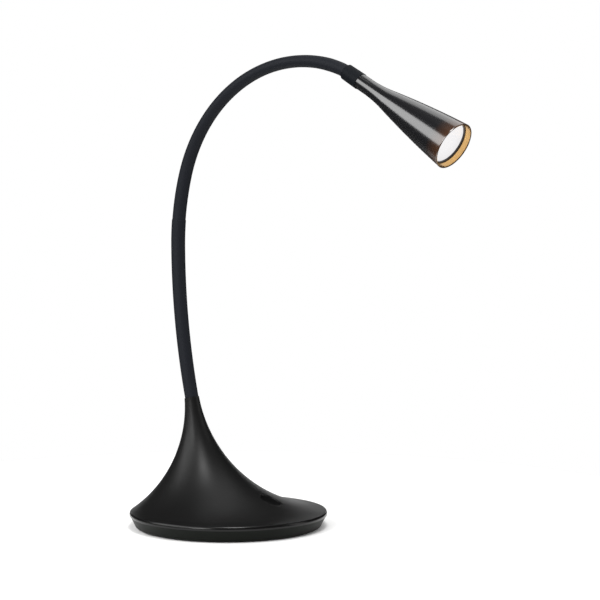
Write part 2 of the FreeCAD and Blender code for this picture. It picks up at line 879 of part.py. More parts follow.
def head_shell():
    """The thin conical shade, flared out of a short throat."""
    outside = turned("head_shape", [
        (0, 0),
        (size.head_narrow / 2, 0),
        (size.head_narrow / 2, size.throat_length, (size.flare_radius, 1)),
        (size.flare_diameter / 2, size.flare_end),
        (middle_radius, cone_middle),
        (mouth_radius, size.head_length),
        (0, size.head_length),
    ])
    hollow = faceted("head_hollow", [(around(radius, HEAD_FLATS), 0, height) for radius, height in (
        (thread_hole, size.throat_length + 5),
        (flare_inside, size.flare_end),
        (middle_inside, cone_middle),
        (shoulder_inside, lens_back),
        (shoulder_inside, lens_back + 1),
    )], HEAD_FLATS)
    seat = faceted("head_seat", [(around(seat_radius(height), HEAD_FLATS), 0, height)
                                 for height in (lens_back, size.head_length + 1)], HEAD_FLATS)
    bore = small_rod("head_bore", thread_hole, size.throat_length + 7, (0, 0, -1))
    return cut("head", outside, hollow, seat, bore)


def heat_sink():
    """An aluminium plug: a plate for the LED board, a core and fins that fill the cone."""
    low = sink_top - size.sink_length
    plate_low = sink_top - size.sink_plate
    plate = small_rod("sink_plate_disc", inside_radius(plate_low) - size.fit, size.sink_plate,
                      (0, 0, plate_low), HEAD_FLATS)
    core = small_rod("sink_core_rod", size.sink_core / 2, size.sink_length, (0, 0, low))
    fins = []
    for index in range(FINS // 2):
        fin = block(f"sink_fin_{index}", size.mouth_diameter, size.fin_thickness,
                    size.sink_length, (0, 0, low))
        fins.append(framed(f"sink_fin_turned_{index}",
                           Placement(Vector(), Rotation(Vector(0, 0, 1), 360 / FINS * index)),
                           fin))
    cone_room = faceted("sink_cone", [(inside_radius(height) - size.fit, 0, height)
                                      for height in (low, plate_low)], HEAD_FLATS)
    finned = common("sink_fins", cone_room, fuse("sink_fin_star", *fins))
    lead_bore = small_rod("sink_bore", 2, size.sink_length + 2, (0, 0, low - 1))
    return cut("sink", fuse("sink_solid", plate, core, finned), lead_bore)


def led_board():
    """The round metal-backed board, bonded to the heat sink's plate."""
    radius = inside_radius(sink_top - size.sink_plate) - size.fit - 1
    return framed("led_plate", Placement(),
                  small_rod("led_disc", radius, size.board_thickness, (0, 0, sink_top),
                            HEAD_FLATS))


def led_chip():
    return framed("chip", Placement(),
                  small_rod("chip_disc", size.chip_diameter / 2, 1, (0, 0, led_top)))


def reflector():
    """A cone from the board to the back of the lens, open round the chip."""
    top = lens_back - size.fit
    foot = size.chip_diameter / 2 + 1.5
    slope = (shoulder_inside - 0.4 - foot) / (top - led_top)
    outside = faceted("reflector_outside", [(foot + slope * (height - led_top), 0, height)
                                            for height in (led_top, top)], HEAD_FLATS)
    hole = faceted("reflector_hole", [(foot + slope * (height - led_top) - 1, 0, height)
                                      for height in (led_top - 1, top + 1)], HEAD_FLATS)
    return cut("reflector_shape", outside, hole)


def lens():
    """The opal disc that the light leaves through."""
    return framed("lens_place", Placement(), small_rod(
        "lens_disc", lens_radius, size.lens_thickness, (0, 0, lens_back), HEAD_FLATS))


def lens_ring():
    return small_tube("retaining_ring", seat_inside, seat_inside - size.lens_ring_width,
                      size.lens_ring_thickness, (0, 0, lens_front), HEAD_FLATS)


def mouth_ring():
    """The thin bright band that lines the mouth in front of the lens."""
    low = lens_front + size.lens_ring_thickness
    high = size.head_length - 0.3
    outside = faceted("mouth_band_outside", [(seat_radius(height) - size.fit, 0, height)
                                             for height in (low, high)], HEAD_FLATS)
    hole = faceted("mouth_band_hole", [
        (seat_radius(height) - size.fit - size.mouth_ring_thickness, 0, height)
        for height in (low - 1, high + 1)], HEAD_FLATS)
    return cut("mouth_band", outside, hole)


def head_lead():
    foot = 8.0
    return framed("head_cable", Placement(),
                  small_rod("head_cable_core", size.lead_diameter / 2,
                            sink_top - foot - size.fit, (0, 0, foot)))


# Assembly

piece("base_cover", base_cover())
piece("base_plate", base_plate())
piece("ballast_disc", ballast_disc())
piece("antislip_pad", antislip_pad())
piece("base_screws", base_screws())
for label, item in (("switch_button", switch_button()), ("switch_plunger", switch_plunger()),
                    ("push_switch", push_switch()), ("switch_board", switch_board())):
    piece(label, item, button_frame())
for maker in (driver_insulator, driver_board, driver_capacitor, driver_inductor, cord_gland):
    piece(maker.__name__, maker())
for maker in (neck_fitting, neck_washer, neck_nut, neck_lead):
    piece(maker.__name__, maker(), neck_frame)
for link_number in range(1, HINGES + 2):
    piece(f"gooseneck_link_{link_number:02d}", gooseneck_link(link_number), arm_frame)
piece("collar", collar(), head_frame * Placement(Vector(0, 0, -float(size.collar_length)),
                                                 Rotation()))
for maker in (head_fitting, head_shell, heat_sink, led_board, led_chip, reflector, lens,
              lens_ring, mouth_ring, head_lead):
    piece(maker.__name__, maker(), head_frame)

doc.recompute()

for item in doc.Objects:
    if {"Invalid", "Error"} & set(item.State):
        raise RuntimeError(f"{item.Label} failed: {item.State}")
for label, item in pieces.items():
    if item.Shape.isNull() or not item.Shape.isValid() or not item.Shape.Solids:
        raise RuntimeError(f"{label} has no valid solid")

os.makedirs("parts", exist_ok=True)
for label, item in pieces.items():
    item.Shape.exportStep(f"parts/{label}.step")

for number in range(1, HINGES + 1):
    spot = arm_frame.multVec(arm_point(hinge_travel(number))[0])
    axis = arm_frame.Rotation.multVec(hinge_axis(number))
    print(f"hinge {number}: place {tuple(round(v, 3) for v in spot)}",
          f"axis {tuple(round(v, 5) for v in axis)}")
button = button_frame()
print("button: place", tuple(round(v, 3) for v in button.Base),
      "axis", tuple(round(v, 5) for v in button.Rotation.multVec(Vector(0, 0, 1))))
print("mouth:", tuple(round(v, 2) for v in head_frame.multVec(Vector(0, 0, float(size.head_length)))))
print(f"{len(pieces)} sub-parts written")
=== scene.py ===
# %% [markdown]
# # A gooseneck desk lamp in a pale studio
#
# The lamp has a black trumpet-shaped base with a push button, a flexible arm in a matte sleeve
# and a slim lacquered head with a lit lens. Its working parts were built in CAD, and they arrive
# here as a fixed frame that nothing may move. This lesson gives the lamp its smooth skins, its
# finishes, its light and its camera. It loads the frame first, because every size and place
# below is measured in the frame's own metres.

# %% Load the frame and keep the size that CAD gives
import json
import math

import bpy
from mathutils import Matrix, Vector


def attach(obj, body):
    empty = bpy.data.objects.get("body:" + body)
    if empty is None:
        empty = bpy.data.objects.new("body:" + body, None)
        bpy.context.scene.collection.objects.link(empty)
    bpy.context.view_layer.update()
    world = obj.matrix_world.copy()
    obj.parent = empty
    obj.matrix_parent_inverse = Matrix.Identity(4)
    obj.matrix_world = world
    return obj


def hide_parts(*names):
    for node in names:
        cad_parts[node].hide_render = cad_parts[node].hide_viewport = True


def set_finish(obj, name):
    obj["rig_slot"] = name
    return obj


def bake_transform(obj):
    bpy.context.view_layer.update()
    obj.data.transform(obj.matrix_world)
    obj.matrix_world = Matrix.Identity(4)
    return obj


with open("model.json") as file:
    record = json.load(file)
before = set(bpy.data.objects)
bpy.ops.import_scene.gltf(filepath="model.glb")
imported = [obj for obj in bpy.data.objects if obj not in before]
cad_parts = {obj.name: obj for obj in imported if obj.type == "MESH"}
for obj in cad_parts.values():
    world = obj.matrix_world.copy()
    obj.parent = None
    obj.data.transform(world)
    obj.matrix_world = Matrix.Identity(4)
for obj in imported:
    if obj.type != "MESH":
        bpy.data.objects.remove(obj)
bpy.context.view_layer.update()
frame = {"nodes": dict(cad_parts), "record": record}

# %% [markdown]
# # The arm's line
#
# The relaxed arm hangs in one upright plane that is turned a little away from the front. Its
# line could be a free curve with handles, but a gooseneck bends evenly, so it is a chain of
# circular arcs: a few lengths and turns then give every point of it exactly.

# %% Find any point of the arm
NECK_PLACE = Vector((-0.0342, 0, 0.110))
NECK_LEAN = math.radians(102.7)
ARM_SWING = math.radians(-15.9)
# The length of each arc in metres and its turn in degrees
ARM_ARCS = [(0.132, 12.5), (0.062, 16.5), (0.179, 79.2), (0.030, 15.3), (0.005, 9.2)]
ARM_LENGTH = sum(length for length, turn in ARM_ARCS)


def arm_point(travel):
    """Where the arm's middle line is in its own plane, and its heading above the level."""
    place_on_line, heading = Vector((0, 0, 0)), NECK_LEAN
    for length, turn in ARM_ARCS:
        run = min(max(travel, 0), length)
        bend = math.radians(turn) * run / length
        chord = 2 * length / math.radians(turn) * math.sin(bend / 2)
        middle = heading - bend / 2
        place_on_line += Vector((math.cos(middle), 0, math.sin(middle))) * chord
        heading -= bend
        travel -= run
    place_on_line += Vector((math.cos(heading), 0, math.sin(heading))) * max(travel, 0)
    return place_on_line, heading


print("arm", round(ARM_LENGTH * 1000), "mm long")

# %% [markdown]
# # Frames for the neck, the collar and the head
#
# Each leaning piece is easier to model upright at the origin than in its place. So the neck, the
# collar and the head get a frame of their own, a matrix whose Z looks along the piece's axis,
# and a finished piece is moved by it.

# %% Set up the frames along the arm
COLLAR_LENGTH = 0.0153
HEAD_LENGTH = 0.1053


def axis_frame(origin, heading):
    """A frame in the arm's plane whose Z looks along a heading."""
    return Matrix.Translation(origin) @ Matrix.Rotation(math.pi / 2 - heading, 4, "Y")


arm_frame = Matrix.Translation(NECK_PLACE) @ Matrix.Rotation(ARM_SWING, 4, "Z")
arm_tip, head_heading = arm_point(ARM_LENGTH)
neck_frame = arm_frame @ axis_frame(Vector(), NECK_LEAN)
collar_frame = arm_frame @ axis_frame(arm_tip, head_heading)
head_frame = collar_frame @ Matrix.Translation((0, 0, COLLAR_LENGTH))
mouth = head_frame @ Vector((0, 0, HEAD_LENGTH))
print("mouth of the head", [round(v, 4) for v in mouth])

# %% [markdown]
# # Rings, as on a potter's wheel
#
# Nearly everything on this lamp is round. Such a piece could be spun from an outline, but the
# trumpet leans and the arm bends, and a spin can make neither. So every piece starts as one
# circle. The ring is extruded to the next place and scaled there, again and again, and one way
# of working serves for all of them. Operators act on whatever is selected, so each piece starts
# with nothing selected.

# %% Start a ring, add a ring and close up
SIDES = 128
MERGE_WITHIN = 1e-6
NO_GROWTH = 1e-6
SMOOTH_BELOW = math.radians(35)


def nothing_selected():
    if bpy.context.object and bpy.context.object.mode != "OBJECT":
        bpy.ops.object.mode_set(mode="OBJECT")
    bpy.ops.object.select_all(action="DESELECT")


def start_ring(name, radius, centre, sides=SIDES, filled=False):
    """A circle at its place, open in edit mode. A filled one grows into a solid."""
    nothing_selected()
    bpy.ops.mesh.primitive_circle_add(
        vertices=sides, radius=radius, location=centre, fill_type="NGON" if filled else "NOTHING")
    piece = bpy.context.object
    piece.name = piece.data.name = name
    bpy.ops.object.transform_apply(location=True, rotation=True, scale=True)
    bpy.ops.object.mode_set(mode="EDIT")
    bpy.ops.mesh.select_all(action="SELECT")
    return piece


def add_ring(from_centre, to_centre, growth):
    """Extrude the selected ring to a new centre and scale it there."""
    bpy.ops.mesh.extrude_region_move(
        TRANSFORM_OT_translate={"value": Vector(to_centre) - Vector(from_centre)})
    if abs(growth - 1) > NO_GROWTH:
        bpy.ops.transform.resize(value=(growth,) * 3, center_override=to_centre)


def close_up(piece):
    """Merge what meets, point the faces outwards and shade the round stretches smoothly."""
    bpy.ops.mesh.select_all(action="SELECT")
    bpy.ops.mesh.remove_doubles(threshold=MERGE_WITHIN)
    bpy.ops.mesh.normals_make_consistent(inside=False)
    bpy.ops.object.mode_set(mode="OBJECT")
    bpy.ops.object.shade_smooth_by_angle(angle=SMOOTH_BELOW)
    return piece


print("a turned piece has", SIDES, "sides unless it says otherwise")

# %% [markdown]
# # The base cover's two side arcs
#
# The real cover is moulded in one piece: a flat round foot that sweeps up into a thin neck. Seen
# from the side, the front sweep and the back sweep are two different circular arcs, so the neck
# stands behind the middle and the whole trumpet leans back. Every level cut through it is still
# a circle, and that circle is known once both arcs are.

# %% Find the cover's level ring at any height
EDGE_RADIUS = 0.084
LIP_TOP = 0.014
NECK_RADIUS = 0.0064
FRONT_ARC = 0.120
BACK_ARC = 0.107


def side_arc(edge_x, neck_x, radius, side):
    """The middle of the circle through the lip and the neck, on its outer side."""
    run, climb = neck_x - edge_x, NECK_PLACE.z - LIP_TOP
    span = math.hypot(run, climb)
    reach = math.sqrt(radius**2 - span**2 / 4)
    return ((edge_x + neck_x) / 2 + side * climb / span * reach,
            (NECK_PLACE.z + LIP_TOP) / 2 - side * run / span * reach)


front_middle = side_arc(EDGE_RADIUS, NECK_PLACE.x + NECK_RADIUS, FRONT_ARC, 1)
back_middle = side_arc(-EDGE_RADIUS, NECK_PLACE.x - NECK_RADIUS, BACK_ARC, -1)


def cover_ring(height):
    """The radius and the middle of the cover's level ring at a height."""
    front = front_middle[0] - math.sqrt(FRONT_ARC**2 - (height - front_middle[1])**2)
    back = back_middle[0] + math.sqrt(BACK_ARC**2 - (height - back_middle[1])**2)
    return (front - back) / 2, Vector(((front + back) / 2, 0, height))


print("ring at half height", [round(v, 4) for v in cover_ring(NECK_PLACE.z / 2)[1]])

# %% [markdown]
# # The lip
#
# Round the foot the cover ends in a small lip, which is widest at the bottom and curves in to
# the slope. A bevel would round it evenly, but this one has a straighter side, so it gets an
# outline of its own. The same helper draws every other shallow curve on the lamp. It bends a
# straight line into a parabola, which at such small bulges can't be told from an arc.

# %% Draw the lip's outline
LIP_BOTTOM = 0.0104
LIP_BULGE = 0.0009
LIP_CROWN = 0.0005
LIP_ROUNDING = (0.0001, 0.0003)


def arc(start, end, bulge, steps):
    """Points from start to end on a shallow curve. The bulge is its height over the chord."""
    (r0, z0), (r1, z1) = start, end
    run, climb = r1 - r0, z1 - z0
    length = math.hypot(run, climb)
    points = []
    for step in range(steps + 1):
        t = step / steps
        stand = bulge * 4 * t * (1 - t)
        points.append((r0 + run * t + climb / length * stand,
                       z0 + climb * t - run / length * stand))
    return points


widest = EDGE_RADIUS + LIP_BULGE
lip = ([(widest - LIP_ROUNDING[0], LIP_BOTTOM)]
       + arc((widest, LIP_BOTTOM + LIP_ROUNDING[1]), (EDGE_RADIUS, LIP_TOP), LIP_CROWN,
             steps=9))
print("lip of", len(lip), "points")

# %% [markdown]
# # The trumpet
#
# Level rings go up from the lip to just past the neck. A loft between a few curves would also
# make it, but rings keep the sweep exact and the faces even. They stand closer together in
# height near the foot, where the sweep is nearly flat and a small step up is a long step in. A
# bisect then trims the neck square to the arm.

# %% Sweep the cover up from its lip
COVER_SIDES = 192
COVER_RINGS = 46
CROWDING = 1.9
PAST_NECK = 0.003

radius, centre = lip[0][0], Vector((0, 0, lip[0][1]))
cover = start_ring("lamp_base_cover", radius, centre, COVER_SIDES)
for lip_radius, lip_height in lip[1:]:
    step_to = Vector((0, 0, lip_height))
    add_ring(centre, step_to, lip_radius / radius)
    radius, centre = lip_radius, step_to
for ring in range(1, COVER_RINGS + 1):
    rise = (ring / COVER_RINGS)**CROWDING
    ring_radius, step_to = cover_ring(LIP_TOP + (NECK_PLACE.z + PAST_NECK - LIP_TOP) * rise)
    add_ring(centre, step_to, ring_radius / radius)
    radius, centre = ring_radius, step_to
neck_axis = neck_frame.to_3x3() @ Vector((0, 0, 1))
bpy.ops.mesh.select_all(action="SELECT")
bpy.ops.mesh.bisect(plane_co=NECK_PLACE, plane_no=neck_axis, clear_outer=True, use_fill=True)
close_up(cover)
print("cover", len(cover.data.polygons), "faces")

# %% [markdown]
# # The cover's wall
#
# The real cover is a shell about two millimetres thick, open below. A second set of rings could
# draw its inside, but Solidify grows the wall inwards from the skin and keeps it even.

# %% Give the cover its wall
COVER_WALL = 0.0022


def only(piece):
    """Select one piece alone and make it the active one."""
    nothing_selected()
    piece.select_set(True)
    bpy.context.view_layer.objects.active = piece


def apply_modifier(piece, modifier):
    only(piece)
    bpy.ops.object.modifier_apply(modifier=modifier.name)


wall = cover.modifiers.new("wall", "SOLIDIFY")
wall.thickness, wall.offset = COVER_WALL, -1
apply_modifier(cover, wall)
print("cover with its wall", len(cover.data.polygons), "faces")

# %% [markdown]
# # Turned pieces and their place
#
# All other round pieces are turned about Z from an outline of radii and heights. Each is made
# upright at the origin and then moved by its frame, and the move is applied to the mesh, so that
# the object itself stays at the origin, unturned and unscaled.

# %% Turn an outline and place a piece
def turned(name, outline, sides=SIDES, solid=False):
    """Turn an outline of (radius, height) about Z. A solid one starts and ends on the axis."""
    (radius, height), *rest = outline if solid else outline + outline[:1]
    piece = start_ring(name, radius, (0, 0, height), sides, solid)
    for next_radius, next_height in rest:
        add_ring((0, 0, height), (0, 0, next_height), next_radius / radius)
        radius, height = next_radius, next_height
    return close_up(piece)


def place(piece, matrix):
    """Move a finished piece to its place and apply the move to its mesh."""
    piece.matrix_world = matrix
    only(piece)
    bpy.ops.object.transform_apply(location=True, rotation=True, scale=True)
    return piece


# The button sits square to the front sweep
BUTTON_HEIGHT = 0.025
button_x = front_middle[0] - math.sqrt(FRONT_ARC**2 - (BUTTON_HEIGHT - front_middle[1])**2)
button_lean = math.atan2(front_middle[0] - button_x, front_middle[1] - BUTTON_HEIGHT)
button_frame = (Matrix.Translation((button_x, 0, BUTTON_HEIGHT))
                @ Matrix.Rotation(button_lean, 4, "Y"))
print("button leans", round(math.degrees(button_lean), 1), "degrees")

# %% [markdown]
# # The plug that cuts the button's hole
#
# On the real lamp the hole has a rounded rim that catches the light. A bevel along a boolean's
# edge often fails on such a curved slope, so the rounding is cut instead: the cutter is a turned
# plug whose top flares. The slope is hollow from lip to neck and full across, so the plug is
# bent in the same way, and the rim stays even all round.

# %% Turn the plug and bend it like the slope
BUTTON_RADIUS = 0.009
BUTTON_GAP = 0.0003
PLUG_BOTTOM, PLUG_TOP = -0.012, 0.006
# How far the flare stands out from the hole at each height
FLARE_OF_RIM = [(0, -0.0012), (0.0001, -0.0008), (0.0004, -0.0004), (0.0008, -0.0001),
                (0.0014, 0.0002), (0.0022, 0.0006)]

hole_radius = BUTTON_RADIUS + BUTTON_GAP
rim_radius = hole_radius + FLARE_OF_RIM[-1][0]
plug = turned("hole_plug", [
    (hole_radius, PLUG_BOTTOM), *((hole_radius + out, up) for out, up in FLARE_OF_RIM),
    (rim_radius, PLUG_TOP)], sides=96, solid=True)
across_radius = cover_ring(BUTTON_HEIGHT)[0] / math.sin(button_lean)
for vertex in plug.data.vertices:
    x, y, z = vertex.co
    vertex.co.z += x * x / FRONT_ARC / 2 - y * y / across_radius / 2
place(plug, button_frame)
print("rim", round(rim_radius * 2000, 1), "mm across")

# %% [markdown]
# # The hole and the soft edges
#
# A boolean takes the plug out of the cover. Then the cover's hard edges are rounded, because
# moulded edges are never knife sharp. The Bevel modifier finds them by their angle, which is
# surer than picking them one by one.

# %% Cut the hole and round the edges
def soften(piece, width, segments=3, above=30):
    """Round the piece's hard edges by a bevel."""
    bevel = piece.modifiers.new("soft edges", "BEVEL")
    bevel.width, bevel.segments = width, segments
    bevel.limit_method, bevel.angle_limit = "ANGLE", math.radians(above)
    apply_modifier(piece, bevel)
    bpy.ops.object.shade_smooth_by_angle(angle=SMOOTH_BELOW)


hole = cover.modifiers.new("button hole", "BOOLEAN")
hole.object, hole.operation, hole.solver = plug, "DIFFERENCE", "EXACT"
apply_modifier(cover, hole)
bpy.data.objects.remove(plug)
bpy.ops.object.shade_smooth_by_angle(angle=SMOOTH_BELOW)
soften(cover, 0.0003, above=50)
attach(cover, "base")
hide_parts("base_cover")
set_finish(cover, "cover_plastic")
print("cover with its hole", len(cover.data.polygons), "faces")

# %% [markdown]
# # The pan
#
# A shallow pan closes the base from below. Its side tapers inwards, which makes the base look as
# if it floats. It could be a scaled cylinder, but it has a foot, a recess for the pad and a
# spigot that stands inside the cover, so it is turned from a full outline.

# %% Turn the pan
FOOT_RADIUS = 0.0795
FOOT_RISE = 0.0008
PAN_TOP = 0.0103
PAN_FLOOR = 0.0022
SPIGOT_RADIUS = 0.0815
SPIGOT_HEIGHT = 0.0018
PAD_RADIUS = 0.072
PAD_GAP = 0.0001
PAD_THICKNESS = 0.0014
MIDDLE_OF_PAN = 0.030

recess = PAD_RADIUS + PAD_GAP
pan = turned("lamp_base_pan", [
    # the recess for the pad
    (MIDDLE_OF_PAN, PAD_THICKNESS), (recess, PAD_THICKNESS), (recess, FOOT_RISE),
    # the foot and the tapered side
    (FOOT_RADIUS - 0.0008, FOOT_RISE), (FOOT_RADIUS + 0.0004, FOOT_RISE + 0.0009),
    (EDGE_RADIUS + 0.0002, PAN_TOP),
    # the spigot, which stands inside the cover
    (SPIGOT_RADIUS, PAN_TOP), (SPIGOT_RADIUS, PAN_TOP + SPIGOT_HEIGHT),
    (SPIGOT_RADIUS - 0.0025, PAN_TOP + SPIGOT_HEIGHT),
    # the floor inside
    (SPIGOT_RADIUS - 0.005, PAD_THICKNESS + PAN_FLOOR),
    (MIDDLE_OF_PAN, PAD_THICKNESS + PAN_FLOOR),
], sides=192, solid=True)
soften(pan, 0.0003, above=20)
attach(pan, "base")
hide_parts("base_plate")
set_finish(pan, "pan_plastic")
print("pan", len(pan.data.polygons), "faces")

# %% [markdown]
# # The foam pad
#
# The lamp stands on a round foam pad, so that it doesn't slide or scratch the desk. It is a
# plain disc, but a disc cut from foam has rounded edges, so it is softened as well.

# %% Turn the pad
pad = turned("lamp_foam_pad", [(PAD_RADIUS, 0), (PAD_RADIUS, PAD_THICKNESS)],
             sides=160, solid=True)
soften(pad, 0.0003)
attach(pad, "base")
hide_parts("antislip_pad")
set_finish(pad, "pad_foam")
print("pad", len(pad.data.polygons), "faces")

# %% [markdown]
# # The push button
#
# The real button is a dished disc that sits just below the slope, and a flange under the cover
# keeps it from coming out. The dish could be cut with a sphere, but a few rings on a parabola
# give the same hollow without a boolean.

# %% Turn the button
BUTTON_SINK = 0.0007
BUTTON_DISH = 0.0009
BUTTON_FLANGE = 0.0045
FLANGE_REACH = 0.0013
FLANGE_THICKNESS = 0.0011
DISH_RINGS = (0.97, 0.9, 0.8, 0.65, 0.5, 0.35, 0.2, 0.08)

flange_radius = BUTTON_RADIUS + FLANGE_REACH
dish = [(BUTTON_RADIUS * t, -BUTTON_SINK - BUTTON_DISH * (1 - t * t)) for t in DISH_RINGS]
button = turned("lamp_push_button", [
    (flange_radius, -BUTTON_FLANGE - FLANGE_THICKNESS), (flange_radius, -BUTTON_FLANGE),
    (BUTTON_RADIUS, -BUTTON_FLANGE), (BUTTON_RADIUS, -BUTTON_SINK - 0.0003),
] + dish, sides=96, solid=True)
soften(button, 0.00015, segments=2, above=40)
place(button, button_frame)
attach(button, "button")
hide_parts("switch_button")
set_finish(button, "button_plastic")
print("button", len(button.data.polygons), "faces")

# %% [markdown]
# # The sleeve's thickness
#
# The real arm is a steel gooseneck in a heat-shrunk sleeve. The sleeve is thicker on its lower
# part and ends there in a small step, and above it narrows and widens again. One radius for
# every place would lose this, so a short list says where it changes, and what lies between is
# measured along straight lines.

# %% Find the sleeve's radius anywhere
SLEEVE_RADII = [(0, 0.00585), (0.153, 0.0061), (0.1538, 0.00607), (0.154, 0.00593),
                (0.15405, 0.00577), (0.175, 0.00575), (0.322, 0.00492), (0.358, 0.0050),
                (0.377, 0.00515), (0.389, 0.00535), (0.5, 0.00535)]


def sleeve_radius(travel):
    for (low, low_radius), (high, high_radius) in zip(SLEEVE_RADII, SLEEVE_RADII[1:]):
        if travel <= high:
            share = max(0, (travel - low) / (high - low))
            return low_radius + (high_radius - low_radius) * share
    return SLEEVE_RADII[-1][1]


print("sleeve", [round(sleeve_radius(s) * 2000, 1) for s in (0, 0.15, 0.16, 0.35)], "mm thick")

# %% [markdown]
# # The sleeve's lengths
#
# In CAD the arm is ten links on nine hinges, and a smooth skin has to follow all of them. A skin
# can bend across one hinge only, so the sleeve is nine lengths, each cut half way between two
# hinges, where the arm doesn't bend. A curve with a bevel would be quicker to draw, but the step
# and the cuts are easier to place ring by ring, so each length is a ring that marches along the
# arm's arcs.

# %% March one length of the sleeve along the arm
HINGES = 9
LENGTH_OF_SLEEVE = ARM_LENGTH / HINGES
SLEEVE_SIDES = 48
SLEEVE_STATIONS = 18
IN_COLLAR = 0.0045
NO_TURN = 1e-7


def sleeve_stations(start, end):
    """Even steps, and the places between them where the radius changes."""
    even = [start + (end - start) * i / SLEEVE_STATIONS for i in range(SLEEVE_STATIONS + 1)]
    return sorted(set(even + [s for s, r in SLEEVE_RADII if start < s < end]))


def march_sleeve(number, stations):
    """One length of the sleeve, in the arm's own plane."""
    here, heading = arm_point(stations[0])
    radius = sleeve_radius(stations[0])
    piece = start_ring(f"lamp_sleeve_{number}", radius, (0, 0, 0), SLEEVE_SIDES, True)
    bpy.ops.object.mode_set(mode="OBJECT")
    place(piece, axis_frame(here, heading))
    bpy.ops.object.mode_set(mode="EDIT")
    bpy.ops.mesh.select_all(action="SELECT")
    for travel in stations[1:]:
        there, new_heading = arm_point(travel)
        add_ring(here, there, sleeve_radius(travel) / radius)
        if abs(new_heading - heading) > NO_TURN:
            # With no window the rotation runs the other way
            bpy.ops.transform.rotate(value=new_heading - heading, orient_axis="Y",
                                     center_override=there)
        here, heading, radius = there, new_heading, sleeve_radius(travel)
    return close_up(piece)


print("each length", round(LENGTH_OF_SLEEVE * 1000, 1), "mm")

# %% [markdown]
# # The sleeve's map
#
# The sleeve's grain has to follow the bends, and Object coordinates would cut straight through
# them. So each length gets a UV map that runs once round the arm and on along it. An automatic
# unwrap would lay the nine lengths differently, but rings are numbered in order, and their
# numbers give the map directly.

# %% Lay the UV map
def map_sleeve(piece, stations):
    """Lay the UV map round the sleeve and along the arm."""
    mesh = piece.data
    for face in mesh.polygons:
        rows = [vertex // SLEEVE_SIDES for vertex in face.vertices]
        turns = [vertex % SLEEVE_SIDES / SLEEVE_SIDES for vertex in face.vertices]
        wraps = max(turns) - min(turns) > 0.5 and len(turns) == 4
        for loop, row, turn in zip(face.loop_indices, rows, turns):
            around = turn + 1 if wraps and turn < 0.5 else turn
            along = stations[row] / (ARM_LENGTH + IN_COLLAR)
            mesh.uv_layers.active.data[loop].uv = (around, along)


print("the map is", round((ARM_LENGTH + IN_COLLAR) * 1000), "mm long")

# %% [markdown]
# The nine lengths
#
# Each length stands for one CAD link, whose piece is hidden. The arm has one link more than it
# has hinges, so the last length stands for two.

# %% Make the nine lengths
def on_arm(travel):
    return arm_frame @ arm_point(travel)[0]


for number in range(1, HINGES + 1):
    start, end = (number - 1) * LENGTH_OF_SLEEVE, number * LENGTH_OF_SLEEVE
    spare = IN_COLLAR if number == HINGES else 0
    stations = sleeve_stations(start, start + LENGTH_OF_SLEEVE + spare)
    sleeve = march_sleeve(number, stations)
    map_sleeve(sleeve, stations)
    place(sleeve, arm_frame)
    on_arm(start)
    on_arm(end)
    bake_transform(sleeve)
    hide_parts(f"gooseneck_link_{number:02d}")
    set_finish(sleeve, "gooseneck_sleeve")
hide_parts(f"gooseneck_link_{HINGES + 1:02d}")
print("arm of", round(ARM_LENGTH * 1000), "mm in", HINGES, "lengths of sleeve")

# %% [markdown]
# # The collar
#
# A short collar joins arm and head. It has the sleeve's matte finish, widens a little towards
# the head and laps over the head's end, so its inside has a step. It is turned as a tube rather
# than bored out of a rod, because the outline can carry that step.

# %% Turn the collar
THROAT_RADIUS = 0.0066
COLLAR_BORE = 0.0052
COLLAR_LAP = 0.0015
COLLAR_FIT = 0.0001

lap_radius, lap_end = THROAT_RADIUS + COLLAR_FIT, COLLAR_LENGTH + COLLAR_LAP
collar = turned("lamp_collar", [
    # its end on the arm
    (COLLAR_BORE, 0.0005), (COLLAR_BORE, 0), (0.0059, 0), (0.0067, 0.0008),
    # its end over the head
    (0.0070, lap_end), (lap_radius, lap_end), (lap_radius, COLLAR_LENGTH),
    (COLLAR_BORE, COLLAR_LENGTH),
], sides=96)
soften(collar, 0.00025, above=25)
place(collar, collar_frame)
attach(collar, "head")
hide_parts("collar")
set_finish(collar, "collar_lacquer")
print("collar", len(collar.data.polygons), "faces")

# %% [markdown]
# # The shade
#
# The head is one thin spun shell: a straight throat, a flare and a long cone whose side bulges
# very slightly. A cone with a Solidify wall would have a sharp, even edge, but the real one
# has a thin rounded rim. So the outline goes up the outside, over the rim and back down the
# inside, and the shell is closed. A last narrow face before the rim keeps the long smooth
# shading from bending the highlights.

# %% Turn the shade
THROAT_END = 0.012
FLARE = (0.00845, 0.030)
FLARE_HOLLOW = 0.00035
CONE_BULGE = 0.0008
MOUTH_RADIUS = 0.0198
MOUTH_INSIDE = 0.0190
SEAT_RADIUS = 0.0180
SEAT_LEDGE = 0.0011
LENS_FRONT = HEAD_LENGTH - 0.0066
LENS_BACK = LENS_FRONT - 0.0018
LAST_FACE = HEAD_LENGTH - 0.0009
RIM_START = HEAD_LENGTH - 0.0003
RIM_SHOULDER = HEAD_LENGTH - 0.00008

